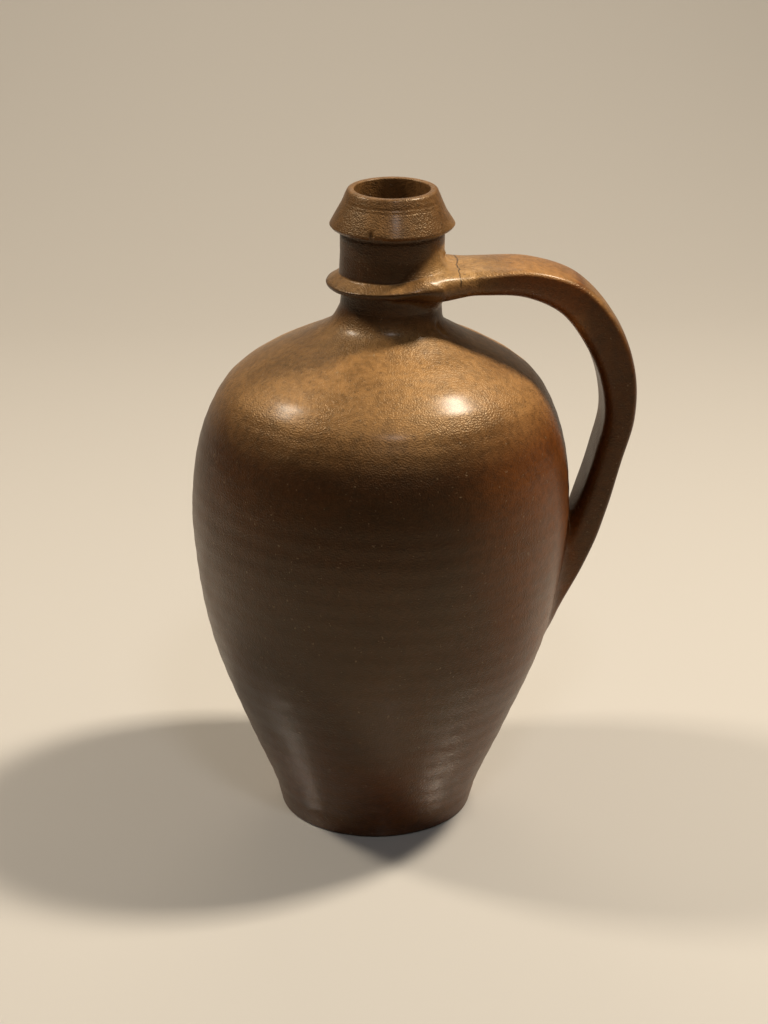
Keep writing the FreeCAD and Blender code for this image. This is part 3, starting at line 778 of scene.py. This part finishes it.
def stoneware():
    material, tree, shader = new_material("stoneware_glaze")
    places = tree.nodes.new("ShaderNodeTexCoord").outputs
    where = places["Object"]
    cloud = noise_node(tree, where, 38, 5, distort=0.4)
    colour = flame_and_lamp_colours(tree, where, places["Normal"], cloud)
    colour = crack_across(tree, where, speckle(tree, where, colour))
    tree.links.new(colour, shader.inputs["Base Color"])
    tree.links.new(ramp_node(tree, cloud, (0.25, 0.36), (0.75, 0.50)), shader.inputs["Roughness"])
    tree.links.new(peel(tree, where), shader.inputs["Normal"])
    shader.inputs["Specular IOR Level"].default_value = 0.55
    shader.inputs["Specular Tint"].default_value = (1.0, 0.74, 0.42, 1)
    shader.inputs["Coat Weight"].default_value = 0.24
    shader.inputs["Coat Roughness"].default_value = 0.24
    return material


glaze = stoneware()
jug.data.materials.clear()
jug.data.materials.append(glaze)
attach(jug, "root")
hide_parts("jug")
print(f"the glaze has {len(glaze.node_tree.nodes)} nodes")

# %% [markdown]
# ## Floor and backdrop
#
# The room stays plain, so that the pot is what is looked at: one pale, slightly glossy sheet that
# curves up behind it.  A flat floor and a wall would show a hard line where they meet, so the sheet
# bends.  A white sheet would throw back so much light that the brown turned milky.  So for light
# that bounces on to the pot the sheet is as brown as a wooden table, and it is pale wherever it is
# seen.  It is staging, not part of the pot.

# %% The sheet
PALE_CARD, WOODY_CARD = (0.62, 0.595, 0.55), (0.22, 0.10, 0.03)
SWEEP = 0.9  # how widely the sheet bends up
SHEET_REACH, SHEET_BACK, SHEET_TOP = 3.0, 0.75, 2.6


def card():
    """Pale card to the eye and in the glaze, but it throws back a weaker, woody light."""
    material, tree, shader = new_material("card")
    ray = tree.nodes.new("ShaderNodeLightPath").outputs
    matt = math_node(tree, "MULTIPLY", ray["Is Camera Ray"], 0.6)
    tree.links.new(math_node(tree, "ADD", matt, 0.13), shader.inputs["Roughness"])
    seen = math_node(tree, "ADD", ray["Is Camera Ray"], ray["Is Glossy Ray"])
    seen = math_node(tree, "ADD", seen, ray["Is Transmission Ray"])
    tree.links.new(blend_node(tree, seen, WOODY_CARD, PALE_CARD), shader.inputs["Base Color"])
    shader.inputs["Specular IOR Level"].default_value = 0.8
    return material


def sweep_sheet():
    """A floor that bends up into a wall behind the pot."""
    turns = np.radians(np.arange(6, 90, 6))
    bend = [(-SHEET_REACH, 0.0), (SHEET_BACK, 0.0)]
    bend += [(SHEET_BACK + SWEEP * math.sin(turn), SWEEP * (1 - math.cos(turn))) for turn in turns]
    bend += [(SHEET_BACK + SWEEP, SWEEP), (SHEET_BACK + SWEEP, SHEET_TOP)]
    points = [(side * SHEET_REACH, back, up) for back, up in bend for side in (-1, 1)]
    faces = [(k, k + 1, k + 3, k + 2) for k in range(0, len(points) - 2, 2)]
    sheet = mesh_piece("paper_sheet", points, faces)
    sheet.data.materials.append(card())
    for polygon in sheet.data.polygons:
        polygon.use_smooth = True
    print(f"the sheet is {2 * SHEET_REACH:.0f} m wide, in {len(faces)} faces")


sweep_sheet()

# %% [markdown]
# ## Light
#
# Four soft square lamps stand high, so the shoulder shines and the front of the belly stays deep
# brown: the key on the handle's side, a second on the left, a weak cooler one in front, and a broad
# one over the sheet behind the pot.  A weak even glow comes from all round, as in any room.  Square
# area lamps are used and not points, because their width gives soft shadows and broad shines.
# The glow is pale to the eye alone, so the space beyond the sheet isn't black.  The lamps light the
# sheet round the pot and behind it; its front end, seen only from behind the pot, stays dark.

# %% Four lamps
MIDDLE = Vector((0.01, 0.0, 0.16))
BEHIND = Vector((0.0, 1.0, 0.1))
WARM, COOL = (1.0, 0.88, 0.72), (0.90, 0.93, 1.0)


def soft_lamp(name, bearing, climb, away, width, watts, colour, aim=MIDDLE):
    """A square soft lamp, placed by its bearing and climb in degrees as seen from its aim."""
    lamp = bpy.data.lights.new(name, "AREA")
    lamp.shape, lamp.size, lamp.energy, lamp.color = "SQUARE", width, watts, colour
    holder = bpy.data.objects.new(name, lamp)
    bpy.context.scene.collection.objects.link(holder)
    turn, rise = math.radians(bearing), math.radians(climb)
    out = Vector((math.cos(rise) * math.cos(turn), math.cos(rise) * math.sin(turn), math.sin(rise)))
    holder.location = aim + out * away
    holder.rotation_euler = (-out).to_track_quat("-Z", "Y").to_euler()


soft_lamp("key_lamp", 8, 60, 1.3, 0.16, 18.0, WARM)
soft_lamp("second_lamp", 165, 50, 1.3, 0.18, 8.5, WARM)
soft_lamp("front_lamp", -84, 52, 1.3, 0.18, 1.8, COOL)
soft_lamp("sheet_lamp", 90, 70, 1.4, 0.80, 5.0, WARM, aim=BEHIND)
print(f"{len(bpy.data.lights)} lamps: {', '.join(sorted(lamp.name for lamp in bpy.data.lights))}")

# %% The glow
GLOW, BEYOND_THE_SHEET = 0.05, 0.55


def room_glow():
    world = bpy.data.worlds.new("glow")
    bpy.context.scene.world = world
    world.use_nodes = True
    tree = world.node_tree
    background = tree.nodes["Background"]
    background.inputs["Color"].default_value = (*WARM, 1)
    ray = tree.nodes.new("ShaderNodeLightPath").outputs
    seen = math_node(tree, "MULTIPLY", ray["Is Camera Ray"], BEYOND_THE_SHEET)
    tree.links.new(math_node(tree, "ADD", seen, GLOW), background.inputs["Strength"])


room_glow()
print(f"the glow has strength {GLOW}, and {GLOW + BEYOND_THE_SHEET:.2f} to the eye alone")

# %% [markdown]
# ## The camera
#
# The pot is seen from about a metre away, a little from above, with the handle turned slightly
# away.  A wide lens from close by would swell the shoulder and shrink the foot, so a long lens is
# used, which keeps the foot and the mouth in proportion.

# %% Set the camera
LENS = 81.1  # millimetres, on a 36 mm film
CAMERA_PLACE = Vector((-0.0631, -0.9589, 0.5247))
CAMERA_TURN, CAMERA_DIP = math.radians(-4.0), math.radians(21.75)


def set_camera():
    eye = bpy.data.cameras.new("eye")
    eye.lens, eye.sensor_width, eye.sensor_fit = LENS, 36.0, "AUTO"
    holder = bpy.data.objects.new("eye", eye)
    bpy.context.scene.collection.objects.link(holder)
    holder.location = CAMERA_PLACE
    holder.rotation_euler = (math.pi / 2 - CAMERA_DIP, 0, CAMERA_TURN)
    bpy.context.scene.camera = holder


set_camera()
bpy.context.scene.view_settings.view_transform = "Standard"
print(f"the camera stands {(CAMERA_PLACE - MIDDLE).length:.2f} m from the pot's middle")
